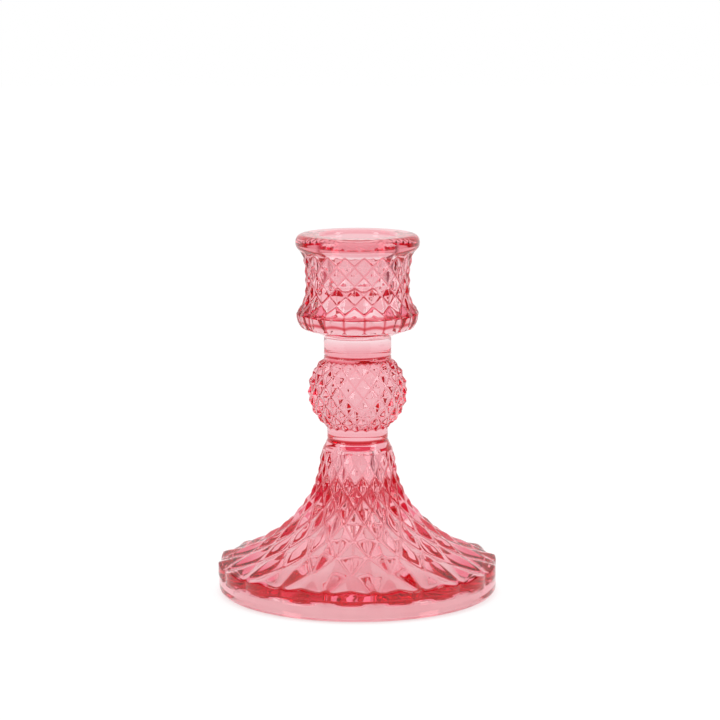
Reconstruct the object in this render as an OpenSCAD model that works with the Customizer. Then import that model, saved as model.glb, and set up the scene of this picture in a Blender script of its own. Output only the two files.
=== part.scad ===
// Pressed-glass candlestick for one straight taper candle.
// Millimetres, +Z up. Origin on the axis at the standing plane.
// One casting of glass, divided at flat horizontal planes into its formed sections.

/* [Overall] */
// height from the standing plane to the top of the lip
total_h = 105; // [98:0.5:112]
// number of diamonds round the axis, shared by every patterned section
diamonds = 18; // [12:1:24]
// how far the diamond points stand out, as a share of the designed height
relief = 1; // [0.4:0.05:1.2]

/* [Candle socket] */
// diameter of the candle socket
socket_d = 22; // [19:0.1:24]
// height of the socket floor above the standing plane
socket_floor_z = 89.5; // [86:0.5:94]

/* [Foot] */
// outer radius of the plain standing ring
foot_r = 40.65; // [39.8:0.05:42]
// height of the plain standing ring
ring_h = 5.2; // [4.5:0.1:6]
// rounding of the lower outer edge of the standing ring
ring_edge_r = 1.8; // [0.5:0.1:2.5]
// radius at the crest of each rim scallop
scallop_r = 41; // [40.6:0.05:42]
// depth of the notch between two scallops
scallop_depth = 0.9; // [0.4:0.05:1.4]
// inner radius of the standing ring at the standing plane
hollow_r = 36.4; // [34:0.1:37.5]
// height of the top of the hollow under the foot
hollow_top_z = 41; // [40.7:0.1:41.5]

/* [Stem] */
// radius of the plain ring under the knop
waist_r = 8.85; // [7.5:0.05:9]
// radius of the plain neck over the knop
neck_r = 9.8; // [8.5:0.05:10]
// widest groove radius of the knop
knop_r = 13.75; // [12.8:0.05:15]

/* [Cup] */
// crest radius of the beads on the collar under the cup
collar_r = 17.85; // [17.4:0.05:19]
// depth of the notch between two beads
collar_depth = 0.65; // [0.3:0.05:1]
// widest radius of the rolled lip
lip_r = 18; // [17.4:0.05:19]
// rounding of the rolled lip
lip_round = 2.1; // [1.2:0.1:2.4]

/* [Hidden] */
// listed heights are for the designed height and follow total_h
unit = total_h / 105;
pitch = 360 / diamonds;
cols = 2 * diamonds;
// direction of the first column of the pattern
first_turn = -83.1;
// direction of the first rim notch, a hair past that column so that the two lines never cross
notch_turn = first_turn + 0.15;
glass = [0.93, 0.42, 0.5, 0.6];

// section planes
skirt_z = 7.6 * unit;
ankle_z = 22.7 * unit;
shoulder_z = 41.9 * unit;
waist_z = 45.8 * unit;
knop_z = 48.9 * unit;
neck_z = 68.6 * unit;
cone_z = 75.6 * unit;
collar_z = 78 * unit;
cup_z = 83 * unit;
lip_z = 99.8 * unit;

// foot and ankle rows from the rim upward: height, groove radius and tip height of each
foot_z = [7.23, 11.35, 14.9, 18.75, 22.7, 26.5, 29.9, 32.9, 36.2, 39.2, 42];
foot_g = [42.8, 31.75, 25.8, 20.85, 17.05, 14.45, 12.6, 11.5, 10.85, 10.6, 10.2];
foot_t = [1.6, 1.4, 1.35, 1.25, 1.1, 1, 0.95, 0.9, 0.75, 0.5, 0.15];

// knop rows, evenly turned round a slightly flattened ball
knop_mid = 59.1;
knop_half = 13;
knop_turn = 12.6;
knop_z_rows = [for (k = [-4 : 4]) knop_mid + knop_half * sin(k * knop_turn)];
knop_g_rows = [for (k = [-4 : 4]) knop_r * cos(k * knop_turn)];
knop_t_rows = [for (k = [-4 : 4]) 0.95 * cos(k * knop_turn)];

// cup wall rows, evenly spaced from the collar to the lip
cup_step = 2.8;
cup_z_rows = [for (k = [0 : 6]) 83 + k * cup_step];
cup_g_rows = [for (k = [0 : 6]) 14.5 + 2.1 * pow(1 - k / 6, 8) + 1.2 * pow(k / 6, 5)];
cup_t_rows = [for (k = [0 : 6]) 0.8];

// radius gained for each millimetre of height at row i
function slope(zs, rs, i) =
    let (a = max(i - 1, 0), b = min(i + 1, len(zs) - 1))
    (rs[b] - rs[a]) / (zs[b] - zs[a]);

// point j of row i: groove crossings and raised tips take turns round the axis
function lattice_point(zs, rs, tips, i, j) =
    let (raised = (i + j) % 2)
    let (s = slope(zs, rs, i))
    let (h = raised * relief * tips[i] / sqrt(1 + s * s))
    let (r = rs[i] + h)
    let (a = first_turn + j * pitch / 2)
    [r * cos(a), r * sin(a), (zs[i] - h * s) * unit];

// index of point j in row i, going round past the last column
function at(i, j) = i * cols + j % cols;

// the two triangles between rows i and i + 1 at column j, parted along the groove
function cell(i, j) =
    (i + j) % 2 == 0
    ? [[at(i, j), at(i + 1, j), at(i + 1, j + 1)], [at(i, j), at(i + 1, j + 1), at(i, j + 1)]]
    : [[at(i, j), at(i + 1, j), at(i, j + 1)], [at(i + 1, j), at(i + 1, j + 1), at(i, j + 1)]];

// solid with a diamond-pointed side between two flat ends
module lattice(zs, rs, tips, floor_z, roof_z) {
    rows = len(zs);
    low = rows * cols;
    high = low + cols;
    side = [for (i = [0 : rows - 1], j = [0 : cols - 1]) lattice_point(zs, rs, tips, i, j)];
    drop = zs[0] * unit - 3;
    top = zs[rows - 1] * unit + 3;
    foot = [for (j = [0 : cols - 1]) [side[j][0], side[j][1], drop]];
    head = [for (j = [0 : cols - 1]) [side[low - cols + j][0], side[low - cols + j][1], top]];
    walls = [for (i = [0 : rows - 2], j = [0 : cols - 1]) each cell(i, j)];
    under = [for (j = [0 : cols - 1]) each [
        [low + j, j, (j + 1) % cols],
        [low + j, (j + 1) % cols, low + (j + 1) % cols]
    ]];
    over = [for (j = [0 : cols - 1]) each [
        [at(rows - 1, j), high + j, high + (j + 1) % cols],
        [at(rows - 1, j), high + (j + 1) % cols, at(rows - 1, j + 1)]
    ]];
    ends = [[for (j = [0 : cols - 1]) low + j], [for (j = [cols - 1 : -1 : 0]) high + j]];
    intersection() {
        polyhedron(points = concat(side, foot, head), faces = concat(walls, under, over, ends));
        translate([0, 0, floor_z])
            cylinder(h = roof_z - floor_z, r = 70, $fn = 96);
    }
}

// flat outline of round lobes with a notch between each two
module lobed_outline(crest, depth) {
    notch = crest - depth;
    rise = crest - notch * cos(pitch / 2);
    half = notch * sin(pitch / 2);
    lobe = (half * half + rise * rise) / (2 * rise);
    for (k = [0 : diamonds - 1])
        rotate(notch_turn + (k + 0.5) * pitch)
            translate([crest - lobe, 0])
                circle(r = lobe, $fn = 96);
    circle(r = crest / 2, $fn = 96);
}

// the hollow narrows fast above the standing ring and ends in a small flat roof
hollow_neck_r = 6.6;
hollow_power = 4.2;
hollow_wall_z = 4.56;
hollow_taper_z = 34;
hollow_taper = 2.3;
hollow_edge_z = 40.4;
hollow_edge_w = 0.5;
hollow_gain = (hollow_r - hollow_neck_r) / pow(1 - hollow_wall_z / hollow_top_z, hollow_power);

// radius of the hollow under the foot at a listed height, below the rounded edge of its roof
function hollow_at(z) =
    let (share = max(z - hollow_taper_z, 0) / (hollow_edge_z - hollow_taper_z))
    let (spread = hollow_gain * pow(1 - z / hollow_top_z, hollow_power))
    hollow_neck_r + spread - hollow_taper * share;

// the hollow under the foot
module hollow() {
    steps = 40;
    rise = hollow_edge_z - hollow_wall_z;
    heights = [for (k = [0 : steps]) hollow_wall_z + rise * pow(k / steps, 1.2)];
    roof_r = hollow_at(hollow_edge_z) - hollow_edge_w;
    edge_h = hollow_top_z - hollow_edge_z;
    rotate_extrude($fn = 144)
        polygon(concat(
            [[0, -1], [hollow_r, -1]],
            [for (z = heights) [hollow_at(z), z * unit]],
            [for (a = [15 : 15 : 90]) [roof_r + hollow_edge_w * cos(a), (hollow_edge_z + edge_h * sin(a)) * unit]],
            [[0, hollow_top_z * unit]]
        ));
}

// the candle socket
module socket() {
    translate([0, 0, socket_floor_z * unit])
        cylinder(h = 30, d = socket_d, $fn = 96);
}

// plain ring that the foot stands on
module foot_ring() {
    color(glass)
    difference() {
        rotate_extrude($fn = 144) {
            translate([0, ring_edge_r])
                square([foot_r, ring_h - ring_edge_r]);
            square([foot_r - ring_edge_r, ring_h]);
            translate([foot_r - ring_edge_r, ring_edge_r])
                circle(r = ring_edge_r, $fn = 48);
        }
        hollow();
    }
}

// scalloped band above the standing ring
module foot_rim() {
    color(glass)
    difference() {
        translate([0, 0, ring_h])
            linear_extrude(skirt_z - ring_h)
                lobed_outline(scallop_r, scallop_depth);
        hollow();
    }
}

// spreading diamond-pointed skirt of the foot
module foot_skirt() {
    color(glass)
    difference() {
        intersection() {
            lattice(foot_z, foot_g, foot_t, skirt_z, ankle_z);
            translate([0, 0, skirt_z - 1])
                linear_extrude(20 * unit)
                    lobed_outline(scallop_r, scallop_depth);
        }
        hollow();
    }
}

// steep diamond-pointed ankle above the skirt
module ankle() {
    color(glass)
    difference() {
        lattice(foot_z, foot_g, foot_t, ankle_z, shoulder_z);
        hollow();
    }
}

// outline points of a rounded groove from height low to height high in a wall of radius r
function groove(r, low, high, deep) =
    [for (k = [0 : 8]) [r - deep * sin(k * 22.5), low + (high - low) * k / 8]];

// smooth round shoulder closing the ankle, with the groove under the plain ring
module shoulder() {
    steps = 10;
    base = 39.3 * unit;
    span = 5.9 * unit;
    low = 42.3 * unit;
    high = 44.7 * unit;
    heights = [for (k = [0 : steps - 1]) low + (high - low) * k / steps];
    color(glass)
    rotate_extrude($fn = 144)
        polygon(concat(
            [[0, shoulder_z], [waist_r + 1.37, shoulder_z]],
            [for (z = heights) [waist_r + 0.1 + 2.25 * pow(1 - pow((z - base) / span, 2), 2), z]],
            groove(waist_r, 44.75 * unit, 45.75 * unit, 0.15),
            [[waist_r, waist_z], [0, waist_z]]
        ));
}

// plain ring under the knop
module waist_ring() {
    color(glass)
    translate([0, 0, waist_z])
        cylinder(h = knop_z - waist_z, r = waist_r, $fn = 96);
}

// diamond-pointed ball
module knop() {
    color(glass)
    lattice(knop_z_rows, knop_g_rows, knop_t_rows, knop_z, neck_z);
}

// plain neck over the knop, with a groove round its foot
module neck() {
    color(glass)
    rotate_extrude($fn = 144)
        polygon(concat(
            [[0, neck_z], [neck_r, neck_z]],
            groove(neck_r, 69.5 * unit, 70.2 * unit, 0.2),
            [[neck_r, cone_z], [0, cone_z]]
        ));
}

// smooth shallow cone under the collar
module cup_base() {
    color(glass)
    translate([0, 0, cone_z])
        cylinder(h = collar_z - cone_z, r1 = neck_r + 0.3, r2 = collar_r - 1.4, $fn = 96);
}

// radius that bounds the beads: a rounded upper edge, and a side that curves in towards the bottom
function collar_profile(z, mid) =
    min(
        collar_r + 0.25 - 1.2 * pow(max(z - mid, 0) / 2.6, 3),
        collar_r + 0.05 - 1.6 * pow(max(mid + 1.4 - z, 0) / 4.2, 2.2)
    );

// beaded collar round the bottom of the cup
module cup_collar() {
    steps = 12;
    mid = (collar_z + cup_z) / 2 + 0.1;
    heights = [for (k = [0 : steps]) collar_z + (cup_z - collar_z) * k / steps];
    color(glass)
    intersection() {
        translate([0, 0, collar_z])
            linear_extrude(cup_z - collar_z)
                lobed_outline(collar_r, collar_depth);
        rotate_extrude($fn = 144)
            polygon(concat(
                [[0, collar_z]],
                [for (z = heights) [collar_profile(z, mid), z]],
                [[0, cup_z]]
            ));
    }
}

// diamond-pointed wall of the cup with the lower part of the socket
module cup_wall() {
    color(glass)
    difference() {
        lattice(cup_z_rows, cup_g_rows, cup_t_rows, cup_z, lip_z);
        socket();
    }
}

// rolled lip with the mouth of the socket
module lip() {
    c = lip_r - lip_round;
    top = total_h;
    color(glass)
    difference() {
        rotate_extrude($fn = 144)
            polygon(concat(
                [[0, lip_z], [16.3, lip_z]],
                [for (a = [-45 : 5 : 0]) [c + lip_round * cos(a), top - 2.7 + lip_round * sin(a)]],
                [for (a = [0 : 5 : 90]) [c + lip_round * cos(a), top - lip_round + lip_round * sin(a)]],
                [[0, top]]
            ));
        socket();
        translate([0, 0, top - 0.8])
            cylinder(h = 1, d1 = socket_d, d2 = socket_d + 2, $fn = 96);
    }
}

foot_ring();
foot_rim();
foot_skirt();
ankle();
shoulder();
waist_ring();
knop();
neck();
cup_base();
cup_collar();
cup_wall();
lip();
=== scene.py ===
import bpy
import bmesh
import math
import numpy as np
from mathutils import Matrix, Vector


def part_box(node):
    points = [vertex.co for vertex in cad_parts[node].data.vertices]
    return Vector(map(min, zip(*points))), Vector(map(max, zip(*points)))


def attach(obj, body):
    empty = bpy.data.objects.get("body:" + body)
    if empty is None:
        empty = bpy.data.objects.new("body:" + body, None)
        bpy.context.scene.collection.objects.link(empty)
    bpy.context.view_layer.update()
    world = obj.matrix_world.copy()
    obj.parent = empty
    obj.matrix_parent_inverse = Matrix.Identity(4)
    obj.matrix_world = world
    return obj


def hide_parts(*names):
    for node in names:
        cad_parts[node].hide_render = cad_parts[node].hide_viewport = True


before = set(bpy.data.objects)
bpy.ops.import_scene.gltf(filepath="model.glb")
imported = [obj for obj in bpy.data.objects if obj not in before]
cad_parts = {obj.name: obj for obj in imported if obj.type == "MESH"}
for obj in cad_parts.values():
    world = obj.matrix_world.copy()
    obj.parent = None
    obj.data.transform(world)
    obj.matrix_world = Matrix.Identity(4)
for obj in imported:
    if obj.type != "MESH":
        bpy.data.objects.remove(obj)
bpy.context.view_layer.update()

# ---------------------------------------------------------------- sizes, in millimetres

MM = 0.001                             # metres in a millimetre
H = round(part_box("lip")[1][2] / MM, 3)   # height of the candlestick
N = 18                                 # diamonds, scallops and beads round the axis
K = 8                                  # mesh columns in each half diamond, and rows in each band
COLS = 2 * N * K
NOTCH = math.radians(-83.1)            # direction of the first rim notch

SOCKET_R, SOCKET_FLOOR_Z, SOCKET_FILLET = 11.0, 89.5, 1.0
MOUTH_ROUND = 1.1
LIP_R, LIP_ROUND = 15.9, 2.1           # radius to the middle of the roll, and the roll's own
COLLAR_TOP_Z, COLLAR_H = 83.0, 5.0
COLLAR_R, COLLAR_NOTCH = 17.85, 0.65   # crest of the beads, and how deep the seams between go
BEAD_R, BEAD_FOOT_Z = 17.9, 79.2       # radius that the side curves in from; the coat is thin below
NECK_R, NECK_TOP_Z = 9.8, 74.6
NECK_LINE_Z, NECK_LINE_HALF, NECK_LINE_DEEP = 69.85, 0.35, 0.2
WAIST_R, WAIST_TOP_Z, WAIST_FOOT_Z = 8.85, 48.6, 46.0
WAIST_LINE_Z, WAIST_LINE_HALF, WAIST_LINE_DEEP = 45.2, 0.6, 0.12
SHOULDER_TOP_Z, SHOULDER_FOOT_Z = 44.65, 42.3
RIM_R, RIM_NOTCH, RIM_FOOT_Z = 40.96, 0.9, 5.2
RING_R, RING_TOP_Z, RING_ROUND = 40.65, 5.0, 1.8
HOLLOW_R, HOLLOW_WALL_Z = 36.4, 4.56   # upright wall of the hollow under the foot
HOLLOW_NECK_R, HOLLOW_POWER = 6.6, 4.2   # what it narrows to in the ankle, and how fast
HOLLOW_TAPER_Z, HOLLOW_TAPER_R, HOLLOW_TAPER = 34, 6.62, 2.3   # the ankle's taper: start and size
HOLLOW_EDGE_Z, HOLLOW_TOP_Z = 40.4, 41
ROOF_R = 3.8                           # flat part of the roof
GROOVE_STEPS = 8
SOFTNESS = 0.14                        # how far an edge is rounded by the fire polish

# thickness of the pink coat, as a share of its usual thickness; it is raised in creases, seams and
# grooves as painted shade, and thinned at the neck's top as a painted highlight
BARE = 0                               # no coat
LIP_COAT = 2.2
CREASE_SHADE_COAT = 2.0                      # painted shade, as thick coat, in the creases under the lip and under the neck's line
BEAD_COAT, BEAD_FOOT_COAT = 0.9, 0.4
# the thick coat in the seams between the beads is painted shade
BEAD_SEAM_SHADE, BEAD_SEAM_SPREAD = 4.5, 0.03
# the two lines of thick coat round the beads, painted shade: height, drop in the seams, width, coat
COLLAR_SHADE_LINES = (82.5, 0.3, 0.4, 4.0), (80.0, 0.6, 0.38, 6.0)
CONE_COAT = 0.3
# the thick coat in the lines round the neck and the waist is painted shade
NECK_TOP_HIGHLIGHT_COAT, NECK_FOOT_COAT, NECK_LINE_SHADE = 0.4, 1.3, 6
WAIST_FOOT_COAT, WAIST_LINE_SHADE = 1.5, 9
FOOT_COAT = 1.25
# the thick coat in the rim's notches is painted shade
RIM_COAT, RIM_SEAM_SHADE, RIM_SEAM_SPREAD = 1.6, 1.5, 0.02
RING_COAT = 1.12
HOLLOW_SHADE = 0.45                     # painted shade, as a faint run of coat just above the ring
ROOF_SHADE = 1.5                        # painted shade, as coat, on the hollow's flat roof
SHADE_LINE_WIDTH = 0.22                      # width of the painted shade, as thick coat, along the pattern's grooves

# ---------------------------------------------------------------- shapes

columns = np.arange(COLS)
theta = NOTCH + columns * (2 * math.pi / COLS)
which = columns // K                   # half diamond that each column is in
across = (columns % K) / K             # and how far across it the column is


def lobed(crest, depth):
    """Radius of round lobes with a notch between each two, at every column."""
    notch = crest - depth
    half_pitch = math.pi / N
    rise = crest - notch * math.cos(half_pitch)
    half = notch * math.sin(half_pitch)
    lobe = (half * half + rise * rise) / (2 * rise)
    centre = crest - lobe
    off = (columns % (2 * K)) / (2 * K) * 2 * half_pitch - half_pitch
    return centre * np.cos(off) + np.sqrt(lobe ** 2 - (centre * np.sin(off)) ** 2)


def seams(dip, spread):
    """1 in the notches between lobes, where dip is 1, and less away from them."""
    return np.exp(-(dip - 1) ** 2 / spread)


def ring(r, z):
    """Points round the axis, one per column."""
    r = np.broadcast_to(np.asarray(r, float), (COLS,))
    z = np.broadcast_to(np.asarray(z, float), (COLS,))
    return np.stack([r * np.cos(theta), r * np.sin(theta), z], axis=1)


def arc(cx, cz, r, a0, a1, n):
    """Outline points on an arc from one angle to another, in degrees."""
    turns = [math.radians(a0 + (a1 - a0) * k / n) for k in range(n + 1)]
    return [(cx + r * math.cos(a), cz + r * math.sin(a)) for a in turns]


def line(p, q, n):
    """Outline points on a straight line."""
    return [(p[0] + (q[0] - p[0]) * k / n, p[1] + (q[1] - p[1]) * k / n) for k in range(n + 1)]


def groove(r0, r1, z, half, deep):
    """Outline of a rounded groove between a wall of radius r0 above and r1 below."""
    out = []
    for k in range(GROOVE_STEPS + 1):
        t = k / GROOVE_STEPS
        r = r0 + (r1 - r0) * t - deep * math.sin(math.pi * t)
        out.append((r, z + half * (1 - 2 * t)))
    return out


def groove_shade_coat(base, more, power=1):
    """Coat thickness at each point of a groove, thicker in the middle as painted shade."""
    return [base + more * math.sin(math.pi * k / GROOVE_STEPS) ** power for k in range(GROOVE_STEPS + 1)]


def corners(zs, rs, tips):
    """Groove crossings and raised tips, taking turns round each row."""
    rows = len(zs)
    out = np.zeros((rows, 2 * N, 3))
    for i in range(rows):
        a, b = max(i - 1, 0), min(i + 1, rows - 1)
        slope = (rs[b] - rs[a]) / (zs[b] - zs[a])
        for j in range(2 * N):
            h = tips[i] / math.sqrt(1 + slope * slope) if (i + j) % 2 else 0.0
            r, z = rs[i] + h, zs[i] - h * slope
            t = NOTCH + j * math.pi / N
            out[i, j] = (r * math.cos(t), r * math.sin(t), z)
    return out


def facet(net, i, t):
    """Points of the faceted surface at share t of interval i, one per column."""
    after = (which + 1) % (2 * N)
    a, b, c, d = net[i, which], net[i, after], net[i + 1, which], net[i + 1, after]
    u = across[:, None]
    t = np.broadcast_to(np.asarray(t, float), (COLS,))[:, None]
    near_a = a + u * (b - a) + t * (c - a)
    near_d = d + (1 - u) * (c - d) + (1 - t) * (b - d)
    cut_ad = np.where(u >= t, a + u * (b - a) + t * (d - b), a + t * (c - a) + u * (d - c))
    cut_bc = np.where(u + t <= 1, near_a, near_d)
    even = ((i + which) % 2 == 0)[:, None]
    return np.where(even, cut_ad, cut_bc)


def groove_lines_shade(net, i, t, more):
    """Coat thickness at share t of interval i, thicker along the grooves as painted shade."""
    off = np.where((i + which) % 2 == 0, np.abs(across - t), np.abs(across + t - 1))
    wide = np.linalg.norm(net[i, 0] - net[i, 1])
    tall = np.linalg.norm(net[i, 0] - net[i + 1, 0])
    away = off * wide * tall / math.hypot(wide, tall)
    return 1 + more * np.exp(-(away / SHADE_LINE_WIDTH) ** 2)


def lattice(net, more, first=0.0, last=1.0, coat=1.0):
    """Rows of the faceted surface, as (points, coat).

    They run from share first of the lowest interval to share last of the top one.
    """
    out = []
    top = len(net) - 2
    for i in range(top + 1):
        t0 = first if i == 0 else 0.0
        t1 = last if i == top else 1.0
        for k in range(K + (i == top)):
            t = t0 + (t1 - t0) * k / K
            out.append((facet(net, i, t), coat * groove_lines_shade(net, i, t, more[i])))
    return out


def meet(net, i, radius):
    """Share of interval i, per column, where the surface has the given radius."""
    low, high = np.zeros(COLS), np.ones(COLS)
    for _ in range(30):
        mid = (low + high) / 2
        p = facet(net, i, mid)
        outside = np.hypot(p[:, 0], p[:, 1]) > radius
        low, high = np.where(outside, mid, low), np.where(outside, high, mid)
    return (low + high) / 2


def bead_crest(z):
    """Radius along the crest of a bead: rounded at the upper edge, and curving in below."""
    upper = 18.1 - 1.2 * (max(z - 80.6, 0) / 2.6) ** 3
    lower = BEAD_R - 1.6 * (max(82 - z, 0) / 4.2) ** 2.2
    return min(upper, lower)


def shoulder_radius(z):
    """Radius of the smooth shoulder, which spreads from the waist to the ankle."""
    return 8.95 + 2.25 * (1 - ((z - 39.3) / 5.9) ** 2) ** 2


def hollow_radius(z):
    """Radius of the hollow between its upright wall and the ankle's taper."""
    span = (HOLLOW_R - HOLLOW_NECK_R) / (1 - HOLLOW_WALL_Z / HOLLOW_TOP_Z) ** HOLLOW_POWER
    return HOLLOW_NECK_R + span * (1 - z / HOLLOW_TOP_Z) ** HOLLOW_POWER


def soften(before, points, after):
    """Points moved a little towards the middle of their neighbours."""
    return (1 - 2 * SOFTNESS) * points + SOFTNESS * (before + after)


class Rows(list):
    """Rings of points, each with the thickness of the pink coat at every column, painted shade and
    highlight included.
    """

    def __init__(self):
        super().__init__()
        self.coat = []
        self.pattern = []              # numbers of the rings that are part of a lattice

    def add(self, points, coat=1.0):
        self.append(points)
        self.coat.append(np.broadcast_to(np.asarray(coat, float), (COLS,)))

    def turn(self, outline, coat=1.0):
        """Adds an outline turned round the axis, with one coat or one for each point."""
        for (r, z), c in zip(outline, np.broadcast_to(coat, (len(outline),))):
            self.add(ring(r, z), c)

    def add_lattice(self, part):
        """Adds a lattice from its top row down."""
        self.pattern.extend(range(len(self), len(self) + len(part)))
        for points, coat in part[::-1]:
            self.add(points, coat)


# ---------------------------------------------------------------- glass body

# heights, groove radii and tip heights of the pattern's rows
foot = corners([7.23, 11.35, 14.9, 18.75, 22.7, 26.5, 29.9, 32.9, 36.2, 39.2, 42.0],
               [42.8, 31.75, 25.8, 20.85, 17.05, 14.45, 12.6, 11.5, 10.85, 10.6, 10.2],
               [1.6, 1.4, 1.35, 1.25, 1.1, 1.0, 0.95, 0.9, 0.75, 0.5, 0.15])
knop_turns = [k * math.radians(12.6) for k in range(-4, 5)]
knop = corners([59.1 + 13.0 * math.sin(a) for a in knop_turns],
               [13.75 * math.cos(a) for a in knop_turns],
               [0.95 * math.cos(a) for a in knop_turns])
cup = corners([COLLAR_TOP_Z + 2.8 * k for k in range(7)],
              [14.5 + 2.1 * (1 - k / 6) ** 8 + 1.2 * (k / 6) ** 5 for k in range(7)],
              [0.8] * 7)

# how much thicker the coat is along the grooves of each band, from the lowest up, as painted shade
foot_groove_shade = [0, 0.1, 0.2, 0.5, 0.9, 1.3, 1.3, 0.8, 0.3, 0.1]
knop_groove_shade = [0.7] * 8
cup_groove_shade = [1.2] * 6

rows = Rows()

# socket floor and wall, which the coat does not reach, and its mouth
rows.turn(line((0.6, SOCKET_FLOOR_Z), (9.8, SOCKET_FLOOR_Z), 8), BARE)
rows.turn(arc(SOCKET_R - SOCKET_FILLET, SOCKET_FLOOR_Z + SOCKET_FILLET, SOCKET_FILLET, -75, 0, 4), BARE)
rows.turn(line((SOCKET_R, 92), (SOCKET_R, 103.6), 10), BARE)
rows.turn(arc(SOCKET_R + MOUTH_ROUND, H - MOUTH_ROUND, MOUTH_ROUND, 170, 95, 6))

# rolled lip, and the crease under it
rows.turn(line((12.6, H), (15.4, H), 4), LIP_COAT)
rows.turn(arc(LIP_R, H - LIP_ROUND, LIP_ROUND, 88, 0, 12), LIP_COAT)
rows.turn(arc(LIP_R, 102.3, LIP_ROUND, -5, -45, 6), LIP_COAT)
rows.add(ring(16.85, 100.3), CREASE_SHADE_COAT)

# cup wall
rows.add_lattice(lattice(cup, cup_groove_shade))

# beaded collar, with thick coat in its seams and along two lines that bend with the beads, as painted
# shade
collar_r = lobed(COLLAR_R, COLLAR_NOTCH)
dip = (collar_r.max() - collar_r) / COLLAR_NOTCH
for k in range(1, 20):
    z = COLLAR_TOP_Z - COLLAR_H * k / 20
    coat = BEAD_FOOT_COAT if z < BEAD_FOOT_Z else BEAD_COAT
    coat = coat + BEAD_SEAM_SHADE * seams(dip, BEAD_SEAM_SPREAD)
    for line_z, drop, width, more in COLLAR_SHADE_LINES:
        coat = coat + more * np.exp(-((z - line_z + drop * dip) / width) ** 2)
    rows.add(ring(collar_r * bead_crest(z) / BEAD_R, z), coat)

# cone under the cup, and the neck with the line round its foot, whose thick coat is painted shade
rows.turn(line((16.3, 77.84), (10.8, 75.85), 8), CONE_COAT)
rows.turn(arc(10.4, 75.0, 0.6, 100, 175, 4), CONE_COAT)
# the coat thins towards the neck's top, which paints a highlight there
rows.turn(line((NECK_R, NECK_TOP_Z), (NECK_R, 70.25), 6),
          [NECK_TOP_HIGHLIGHT_COAT + (NECK_FOOT_COAT - NECK_TOP_HIGHLIGHT_COAT) * k / 6 for k in range(7)])
rows.turn(groove(NECK_R, NECK_R, NECK_LINE_Z, NECK_LINE_HALF, NECK_LINE_DEEP),
          groove_shade_coat(NECK_FOOT_COAT, NECK_LINE_SHADE))
rows.add(ring(NECK_R, 69.35), CREASE_SHADE_COAT)

# knop, with thicker coat where it meets the neck and the waist, as painted shade between the parts
part = lattice(knop, knop_groove_shade, last=meet(knop, 7, NECK_R))
for k, more in ((-1, 3.0), (-2, 1.5), (0, 1.5)):
    points, coat = part[k]
    part[k] = (points, coat + more)
rows.add_lattice(part)

# waist ring with the line under it, whose thick coat is painted shade, and shoulder
rows.turn(line((WAIST_R, WAIST_TOP_Z), (WAIST_R, WAIST_FOOT_Z), 5))
rows.turn(groove(WAIST_R, 9.0, WAIST_LINE_Z, WAIST_LINE_HALF, WAIST_LINE_DEEP),
          groove_shade_coat(WAIST_FOOT_COAT, WAIST_LINE_SHADE, 0.6))
for k in range(10):
    z = SHOULDER_TOP_Z + (SHOULDER_FOOT_Z - SHOULDER_TOP_Z) * k / 9
    rows.add(ring(shoulder_radius(z), z))

# ankle and skirt, down to where the scallops cut them off
rim_r = lobed(RIM_R, RIM_NOTCH)
rim_t = meet(foot, 0, rim_r)
rows.add_lattice(lattice(foot, foot_groove_shade, first=rim_t, coat=FOOT_COAT))

# scalloped rim, with thick coat in the notches between scallops as painted shade
rim_edge_z = facet(foot, 0, rim_t)[:, 2]
rim_coat = RIM_COAT + RIM_SEAM_SHADE * seams((rim_r.max() - rim_r) / RIM_NOTCH, RIM_SEAM_SPREAD)
for k in range(1, 9):
    rows.add(ring(rim_r, rim_edge_z + (RIM_FOOT_Z - rim_edge_z) * k / 8), rim_coat)

# standing ring, bare where it touches the table
rows.turn(line((RING_R, RING_TOP_Z), (RING_R, 2.4), 4), RING_COAT)
rows.turn(arc(RING_R - RING_ROUND, RING_ROUND, RING_ROUND, 0, -88, 10), RING_COAT)
rows.turn(line((38.4, 0.0), (37.0, 0.0), 2), BARE)
rows.turn(arc(37.0, 0.6, 0.6, -105, -175, 4), BARE)

# hollow under the foot: upright wall, curve, taper up the ankle, and roof. It is bare but for
# painted shade, as coat, in a faint run just above the ring and on the roof.
rows.turn(line((HOLLOW_R, 1.2), (HOLLOW_R, 4.2), 3), BARE)
for k in range(1, 41):
    z = HOLLOW_WALL_Z + (HOLLOW_TAPER_Z - HOLLOW_WALL_Z) * (k / 40) ** 1.3
    rows.add(ring(hollow_radius(z), z), HOLLOW_SHADE * math.exp(-((z - 5.6) / 1.6) ** 2))
for k in range(1, 11):
    z = HOLLOW_TAPER_Z + (HOLLOW_EDGE_Z - HOLLOW_TAPER_Z) * k / 10
    rows.add(ring(HOLLOW_TAPER_R - HOLLOW_TAPER * k / 10, z), BARE)
for k in range(1, 7):
    a = math.radians(15 * k)
    rows.add(ring(ROOF_R + 0.5 * math.cos(a), HOLLOW_EDGE_Z + 0.6 * math.sin(a)), BARE)
for r in (3.0, 2.0, 1.0):
    rows.add(ring(r, HOLLOW_TOP_Z), ROOF_SHADE)

# fire polishing rounds every edge along the outline, and those of the pattern round the axis too
grid = np.array(rows)
grid[1:-1] = soften(grid[:-2], grid[1:-1], grid[2:])
pattern = grid[rows.pattern]
grid[rows.pattern] = soften(np.roll(pattern, 1, axis=1), pattern, np.roll(pattern, -1, axis=1))
grid[:, :, 2] = np.clip(grid[:, :, 2], 0.0, H)
grid *= MM

CUT_GAP = 0.000004                     # metres, left on each side of a cut
NEAR = 1e-7                            # metres, how close a point on a cut is to its plane


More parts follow.
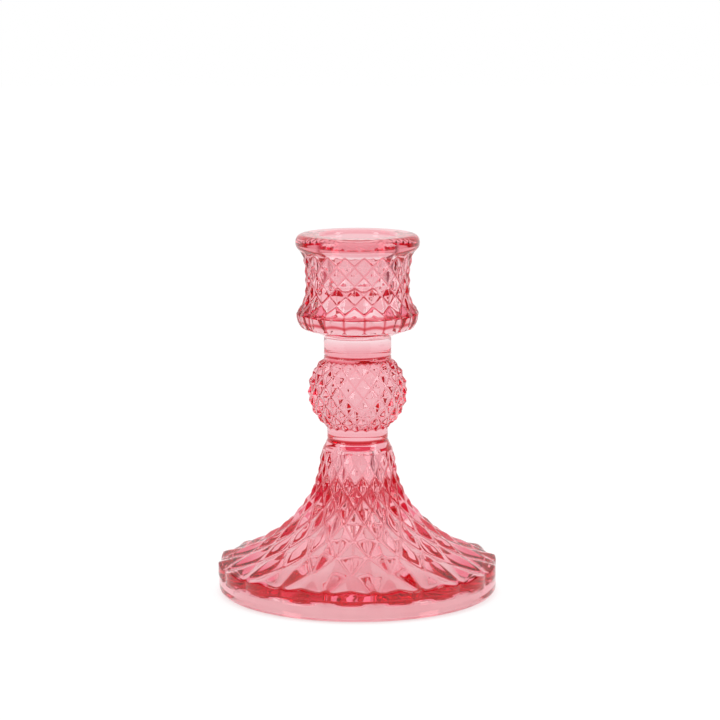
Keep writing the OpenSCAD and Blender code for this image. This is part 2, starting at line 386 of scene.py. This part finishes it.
def cut(bm, z, up):
    """Cuts off what is above a height, or below it, and closes the end with the joint material."""
    geom = bm.verts[:] + bm.edges[:] + bm.faces[:]
    bmesh.ops.bisect_plane(bm, geom=geom, dist=1e-9, plane_co=(0, 0, z), plane_no=(0, 0, 1),
                           clear_outer=up, clear_inner=not up)
    edges = [e for e in bm.edges if e.is_boundary and all(abs(v.co.z - z) < NEAR for v in e.verts)]
    res = bmesh.ops.triangle_fill(bm, use_beauty=True, use_dissolve=False, edges=edges,
                                  normal=(0, 0, 1 if up else -1))
    for f in res["geom"]:
        if isinstance(f, bmesh.types.BMFace):
            f.material_index = 1
            f.smooth = False
            for e in f.edges:
                e.smooth = False


def section(node, z0, z1, mats):
    """Closed piece of the glass body between two heights; None leaves an end uncut."""
    low = grid[:, :, 2].min(axis=1)
    high = grid[:, :, 2].max(axis=1)
    bm = bmesh.new()
    coat = bm.verts.layers.float.new("coat")
    verts = {}

    def row(i):
        if i not in verts:
            verts[i] = [bm.verts.new(p) for p in grid[i].tolist()]
            for v, c in zip(verts[i], rows.coat[i]):
                v[coat] = c
        return verts[i]

    def wanted(a, b):
        return (z1 is None or a < z1 + MM) and (z0 is None or b > z0 - MM)

    for i in range(len(grid) - 1):
        if not wanted(min(low[i], low[i + 1]), max(high[i], high[i + 1])):
            continue
        a, b = row(i), row(i + 1)
        for j in range(COLS):
            k = (j + 1) % COLS
            bm.faces.new((a[j], b[j], b[k], a[k]))
    for i in (0, len(grid) - 1):
        if wanted(low[i], high[i]):
            a = row(i)
            middle = bm.verts.new((0, 0, grid[i, 0, 2]))
            for j in range(COLS):
                bm.faces.new((middle, a[j], a[(j + 1) % COLS]))
    for f in bm.faces:
        f.smooth = True
    for z, up in ((z0, False), (z1, True)):
        if z is not None:
            cut(bm, z - CUT_GAP if up else z + CUT_GAP, up)
    bmesh.ops.recalc_face_normals(bm, faces=bm.faces)
    me = bpy.data.meshes.new(node + "_glass")
    bm.to_mesh(me)
    bm.free()
    ob = bpy.data.objects.new(node + "_glass", me)
    bpy.context.scene.collection.objects.link(ob)
    for m in mats:
        me.materials.append(m)
    return ob


# ---------------------------------------------------------------- nodes


def new_node(nt, kind, links=None, inputs=None, **settings):
    """New node, with links to its inputs and values for them, both by name or number."""
    node = nt.nodes.new(kind)
    for k, v in settings.items():
        setattr(node, k, v)
    for k, v in (inputs or {}).items():
        node.inputs[k].default_value = v
    for k, source in (links or {}).items():
        nt.links.new(source, node.inputs[k])
    return node


def connect(nt, node, values):
    """Sets inputs, by number, to an output of another node, a number or a colour."""
    for k, v in values.items():
        if isinstance(v, bpy.types.NodeSocket):
            nt.links.new(v, node.inputs[k])
        elif isinstance(v, tuple):
            node.inputs[k].default_value = (*v, 1)
        else:
            node.inputs[k].default_value = v


def maths(nt, operation, *values):
    """Result of a Math node on numbers or outputs of other nodes."""
    node = new_node(nt, "ShaderNodeMath", operation=operation)
    connect(nt, node, dict(enumerate(values)))
    return node.outputs[0]


def blend(nt, share, a, b):
    """Number that goes from a to b as share goes from 0 to 1."""
    node = new_node(nt, "ShaderNodeMix")
    connect(nt, node, {0: share, 2: a, 3: b})
    return node.outputs[0]


def blend_colour(nt, share, a, b):
    """Colour that goes from a to b as share goes from 0 to 1."""
    node = new_node(nt, "ShaderNodeMix", data_type="RGBA")
    connect(nt, node, {0: share, 6: a, 7: b})
    return node.outputs[2]


def ramp(nt, value, stops):
    """Colour at a value between stops of (position, colour)."""
    node = new_node(nt, "ShaderNodeValToRGB", {0: value})
    elements = node.color_ramp.elements
    while len(elements) < len(stops):
        elements.new(0.5)
    for element, (position, colour) in zip(elements, stops):
        element.position = position
        element.color = (*colour, 1)
    return node.outputs[0]


# ---------------------------------------------------------------- materials

PASS = (0.95, 0.68, 0.712)             # light kept by one pass through the pink coat
# Deeper than two passes: light kept when the coated surface turns it back inside.
BACK = (0.87, 0.105, 0.21)
# The thickest coat that counts where a ray meets the surface from inside.
INNER_LIMIT = 1.3
GLASS_IOR = 1.5
MAX_ROUGHNESS = 0.012
CLOUD, DRAG, WAVE = (70.0, 3.0), (45.0, 2.0), (260.0, 1.0)     # scale and detail of each noise
DRAG_SQUEEZE = (1.0, 1.0, 9.0)         # makes the drag marks run round the glass
DRAG_HEIGHT, WAVE_HEIGHT = 0.00003, 0.000012   # metres

WHITE = (1.0, 1.0, 1.0)
BLACK = (0.0, 0.0, 0.0)


def empty_material(name):
    """Material without nodes, its node tree and the surface input of its output."""
    mat = bpy.data.materials.new(name)
    mat.use_nodes = True
    nt = mat.node_tree
    nt.nodes.clear()
    return mat, nt, nt.nodes.new("ShaderNodeOutputMaterial").inputs["Surface"]


def tint(nt, base, thick):
    """Colour of light after a coat of the given thickness."""
    powers = {k: maths(nt, "POWER", share, thick) for k, share in enumerate(base)}
    return new_node(nt, "ShaderNodeCombineColor", powers).outputs[0]


def noise(nt, where, scale, detail):
    node = new_node(nt, "ShaderNodeTexNoise", {"Vector": where}, {"Scale": scale, "Detail": detail})
    return node.outputs["Fac"]


def map_range(nt, value, to_min, to_max, from_min=0.0, from_max=1.0):
    limits = {"From Min": from_min, "From Max": from_max, "To Min": to_min, "To Max": to_max}
    return new_node(nt, "ShaderNodeMapRange", {"Value": value}, limits).outputs["Result"]


def glass_material():
    """Clear glass with a transparent pink coat on its outer surface."""
    mat, nt, surface = empty_material("pink_coated_glass")
    place = nt.nodes.new("ShaderNodeTexCoord").outputs["Object"]
    # the coat attribute, with painted shade in creases, seams and grooves and a painted highlight at the
    # neck's top
    coat_and_painted_light = new_node(nt, "ShaderNodeAttribute", attribute_name="coat").outputs["Fac"]
    from_inside = nt.nodes.new("ShaderNodeNewGeometry").outputs["Backfacing"]

    # the coat is slowly uneven, and its thick lines of painted shade count in full only where a ray
    # enters the glass
    cloud = noise(nt, place, *CLOUD)
    uneven = map_range(nt, cloud, 0.85, 1.15, from_min=0.3, from_max=0.7)
    thick = maths(nt, "MULTIPLY", uneven, coat_and_painted_light)
    limited = maths(nt, "MINIMUM", thick, INNER_LIMIT)
    through = tint(nt, PASS, blend(nt, from_inside, thick, limited))
    inside = blend_colour(nt, from_inside, WHITE, tint(nt, BACK, limited))

    # the wavy fire-polished skin of pressed glass, with long drag marks round it
    rough = map_range(nt, cloud, 0.0, MAX_ROUGHNESS)
    long = new_node(nt, "ShaderNodeMapping", {"Vector": place}, {"Scale": DRAG_SQUEEZE}).outputs["Vector"]
    drag = new_node(nt, "ShaderNodeBump", {"Height": noise(nt, long, *DRAG)},
                    {"Strength": 1.0, "Distance": DRAG_HEIGHT}).outputs["Normal"]
    skin = new_node(nt, "ShaderNodeBump", {"Height": noise(nt, place, *WAVE), "Normal": drag},
                    {"Strength": 1.0, "Distance": WAVE_HEIGHT}).outputs["Normal"]

    bend = new_node(nt, "ShaderNodeBsdfRefraction",
                    {"Color": through, "Roughness": rough, "Normal": skin}, {"IOR": GLASS_IOR})
    shine = new_node(nt, "ShaderNodeBsdfGlossy", {"Color": inside, "Roughness": rough, "Normal": skin})
    fresnel = new_node(nt, "ShaderNodeFresnel", {"Normal": skin}, {"IOR": GLASS_IOR})
    both = new_node(nt, "ShaderNodeMixShader",
                    {0: fresnel.outputs[0], 1: bend.outputs[0], 2: shine.outputs[0]})
    nt.links.new(both.outputs[0], surface)
    return mat


def joint_material():
    """Glass meets glass here, so nothing shows."""
    mat, nt, surface = empty_material("glass_to_glass")
    nt.links.new(nt.nodes.new("ShaderNodeBsdfTransparent").outputs[0], surface)
    return mat


# ---------------------------------------------------------------- pieces

mats = [glass_material(), joint_material()]
order = ["foot_ring", "foot_rim", "foot_skirt", "ankle", "shoulder", "waist_ring",
         "knop", "neck", "cup_base", "cup_collar", "cup_wall", "lip"]
low = [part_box(n)[0][2] for n in order]
cuts = [None, *low[1:], None]
for i, n in enumerate(order):
    ob = section(n, cuts[i], cuts[i + 1], mats)
    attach(ob, "root")
    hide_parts(n)

# ---------------------------------------------------------------- studio

BOUNCES = 48                           # light turns many times inside cut glass

scene = bpy.context.scene
scene.view_settings.view_transform = "Standard"
for name in ("max_bounces", "transmission_bounces", "transparent_max_bounces", "glossy_bounces"):
    setattr(scene.cycles, name, BOUNCES)
scene.cycles.caustics_refractive = True
scene.cycles.caustics_reflective = True

# the studio round the table: a white backdrop behind, dark pink to the sides and round the camera.
# Stops go from the camera's side, at 0, to straight behind the candlestick, at 1.
FRONT = (0.5, 0.36, 0.35)
RIGHT_STOPS = [(0.0, FRONT), (0.2, (0.42, 0.22, 0.25)), (0.4, (0.32, 0.12, 0.15)),
               (0.68, (0.32, 0.13, 0.16)), (0.8, WHITE)]
LEFT_STOPS = [(0.0, FRONT), (0.2, (0.5, 0.22, 0.27)), (0.4, (0.58, 0.14, 0.2)),
              (0.68, (0.6, 0.18, 0.23)), (0.8, WHITE)]
UP_STOPS = [(0.0, BLACK), (0.45, BLACK), (0.8, WHITE)]     # share of the ceiling, by height
CEILING = (1.1, 1.1, 1.1)


def studio_world():
    """World that lights the glass from all round, and is white where the camera sees it."""
    world = bpy.data.worlds.new("studio")
    world.use_nodes = True
    wt = world.node_tree
    way = wt.nodes.new("ShaderNodeTexCoord").outputs["Generated"]
    x, y, z = new_node(wt, "ShaderNodeSeparateXYZ", {"Vector": way}).outputs
    level = maths(wt, "SQRT", maths(wt, "ADD", maths(wt, "MULTIPLY", x, x), maths(wt, "MULTIPLY", y, y)))
    ahead = maths(wt, "DIVIDE", y, maths(wt, "MAXIMUM", level, 0.001))
    depth = maths(wt, "MULTIPLY_ADD", ahead, 0.5, 0.5)
    side = maths(wt, "MULTIPLY_ADD", x, 0.7, 0.5)
    around = blend_colour(wt, side, ramp(wt, depth, LEFT_STOPS), ramp(wt, depth, RIGHT_STOPS))
    sky = blend_colour(wt, ramp(wt, z, UP_STOPS), around, CEILING)
    seen = wt.nodes.new("ShaderNodeLightPath").outputs["Is Camera Ray"]
    back = wt.nodes["Background"]
    wt.links.new(blend_colour(wt, seen, sky, WHITE), back.inputs["Color"])
    back.inputs["Strength"].default_value = 1.0
    return world


scene.world = studio_world()

FLOOR_W, FLOOR_L, FLOOR_Y = 1.0, 3.0, 1.15     # metres: size, and place of its middle
FLOOR_DROP = 0.0002                    # metres under the standing ring
FLOOR_GLOW = 0.88
FLOOR_PINK = (0.86, 0.58, 0.6)         # painted under the foot, for the light through the glass
FLOOR_PINK_R, FLOOR_WHITE_R = 0.0355, 0.042    # metres: pink inside one, white outside the other
RAMP_R = 0.1                           # metres, radius at the end of the floor's colour ramp


def floor_material():
    """White floor that glows a little, with the pink light through the glass painted near the middle."""
    mat = bpy.data.materials.new("floor_white")
    mat.use_nodes = True
    nt = mat.node_tree
    paint = nt.nodes["Principled BSDF"]
    place = nt.nodes.new("ShaderNodeTexCoord").outputs["Object"]
    reach = new_node(nt, "ShaderNodeVectorMath", {0: place}, operation="LENGTH").outputs["Value"]
    share = maths(nt, "MULTIPLY", reach, 1 / RAMP_R)
    colour = ramp(nt, share, [(FLOOR_PINK_R / RAMP_R, FLOOR_PINK), (FLOOR_WHITE_R / RAMP_R, WHITE)])
    nt.links.new(colour, paint.inputs["Emission Color"])
    paint.inputs["Emission Strength"].default_value = FLOOR_GLOW
    paint.inputs["Base Color"].default_value = (0.15, 0.15, 0.15, 1)
    paint.inputs["Roughness"].default_value = 0.9
    paint.inputs["Specular IOR Level"].default_value = 0.0
    return mat


bm = bmesh.new()
bmesh.ops.create_grid(bm, x_segments=2, y_segments=2, size=1.0)
for v in bm.verts:
    v.co.x *= FLOOR_W / 2
    v.co.y = FLOOR_Y + v.co.y * FLOOR_L / 2
me = bpy.data.meshes.new("floor")
bm.to_mesh(me)
bm.free()
me.materials.append(floor_material())
floor = bpy.data.objects.new("floor", me)
scene.collection.objects.link(floor)
floor.location = (0, 0, -FLOOR_DROP)

LIGHTS_AIM = (0, 0, 0.05)


def softbox(name, place, w, h, power):
    """Rectangular light, sizes in metres and power in watts, that faces the candlestick."""
    light = bpy.data.lights.new(name, "AREA")
    light.shape = "RECTANGLE"
    light.size, light.size_y = w, h
    light.energy = power
    ob = bpy.data.objects.new(name, light)
    ob.location = place
    ob.rotation_euler = (Vector(LIGHTS_AIM) - Vector(place)).to_track_quat("-Z", "Y").to_euler()
    scene.collection.objects.link(ob)


softbox("overhead", (0.1, 0.0, 1.1), 0.9, 0.9, 0.8)
softbox("left_box", (-0.75, -0.45, 0.45), 0.3, 0.6, 2.4)
softbox("right_box", (0.75, -0.35, 0.4), 0.3, 0.6, 2.4)

CAMERA_PLACE = (0.0007, -0.766, 0.190)         # metres
CAMERA_DOWN = 9.04                     # degrees below level

cam = bpy.data.cameras.new("camera")
cam.lens = 133.5
cam.sensor_width = 36
cam.clip_start = 0.01
cob = bpy.data.objects.new("camera", cam)
cob.location = CAMERA_PLACE
cob.rotation_euler = (math.radians(90 - CAMERA_DOWN), 0, 0)
scene.collection.objects.link(cob)
scene.camera = cob
